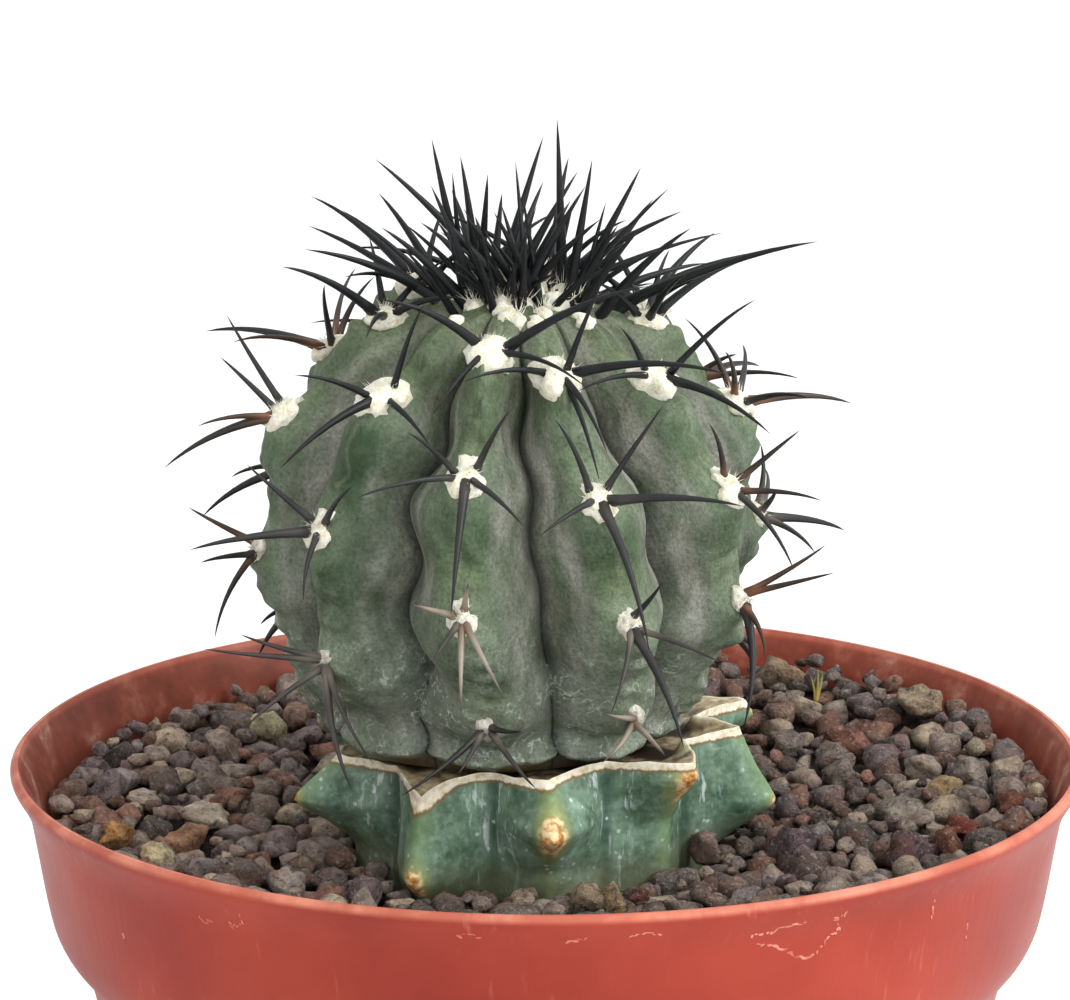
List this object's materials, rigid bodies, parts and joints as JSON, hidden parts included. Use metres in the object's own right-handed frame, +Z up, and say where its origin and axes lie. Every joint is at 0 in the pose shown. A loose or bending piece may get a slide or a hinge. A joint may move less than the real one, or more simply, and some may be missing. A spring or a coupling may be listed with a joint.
{
  "type": "potted cactus",
  "caption": "Globular ribbed cactus with black spines and woolly areoles, grafted on a short ribbed stock in a shallow plastic bowl pot filled with lava grit.",
  "frame": {"origin": "centre of the pot's round foot, on the surface that it stands on", "axes": "+Z up, -Y towards the side that the picture shows, +X to its right"},
  "size_m": [0.16, 0.16, 0.1817],
  "materials": {
    "pot_plastic": "moulded polypropylene, satin, scuffed",
    "lava_grit": null,
    "stock_skin": null,
    "scion_skin": null
  },
  "bodies": {
    "root": {"pot": "pot_plastic", "grit": "lava_grit", "rootstock": "stock_skin", "scion": "scion_skin"}
  },
  "joints": []
}
